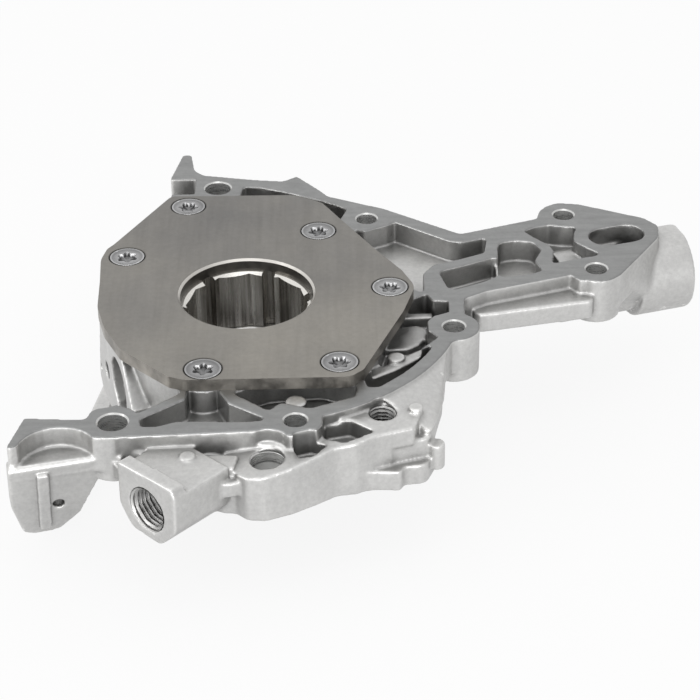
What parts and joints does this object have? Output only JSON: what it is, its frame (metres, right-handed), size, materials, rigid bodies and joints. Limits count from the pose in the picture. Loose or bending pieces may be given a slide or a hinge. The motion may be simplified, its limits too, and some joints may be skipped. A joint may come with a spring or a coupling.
{
  "type": "engine oil pump",
  "caption": "Crank-driven internal gear oil pump in a die-cast housing with a flat cover plate, a side arm with a relief valve, a suction port and a threaded switch port.",
  "frame": {"origin": "crankshaft axis at the gasket face of the housing", "axes": "+Z along the crankshaft axis out of the gasket face towards the engine, +X towards the relief valve arm, -Y towards the viewer of the picture"},
  "size_m": [0.2195, 0.2038, 0.054],
  "materials": {
    "cast_aluminium": "die cast with machined faces",
    "plate_steel": "ground",
    "zinc_steel": "zinc plated",
    "rotor_steel": "sintered",
    "seal_steel": "pressed",
    "seal_rubber": "matt",
    "spring_steel": "drawn wire",
    "piston_steel": "ground",
    "plug_steel": "pressed"
  },
  "bodies": {
    "housing": {"pump_housing": "cast_aluminium", "cover_plate": "plate_steel", "cover_screws": "zinc_steel", "seal_case": "seal_steel", "seal_lip": "seal_rubber", "seal_spring": "spring_steel", "relief_spring": "spring_steel", "relief_plug": "zinc_steel", "relief_plug_ring": "seal_rubber", "gallery_ball": "plug_steel"},
    "drive_gear": {"inner_rotor": "rotor_steel"},
    "ring_gear": {"outer_rotor": "rotor_steel"},
    "piston": {"relief_piston": "piston_steel"}
  },
  "joints": [
    {"name": "inner_rotor_spin", "type": "hinge", "parent": "housing", "child": "drive_gear", "pos_m": [0, 0, 0], "axis": [0, 0, 1], "continuous": true},
    {"name": "outer_rotor_spin", "type": "hinge", "parent": "housing", "child": "ring_gear", "pos_m": [-0.00075, 0.0028, 0], "axis": [0, 0, 1], "continuous": true},
    {"name": "relief_piston_slide", "type": "slide", "parent": "housing", "child": "piston", "axis": [0.9537, 0.3007, 0], "range_m": [0, 0.005], "stiffness_N_per_m": 18200, "springref_m": -0.0042, "deforming": ["relief_spring"]}
  ],
  "couplings": [
    {"joint": "outer_rotor_spin", "follows": "inner_rotor_spin", "ratio": 0.9}
  ]
}
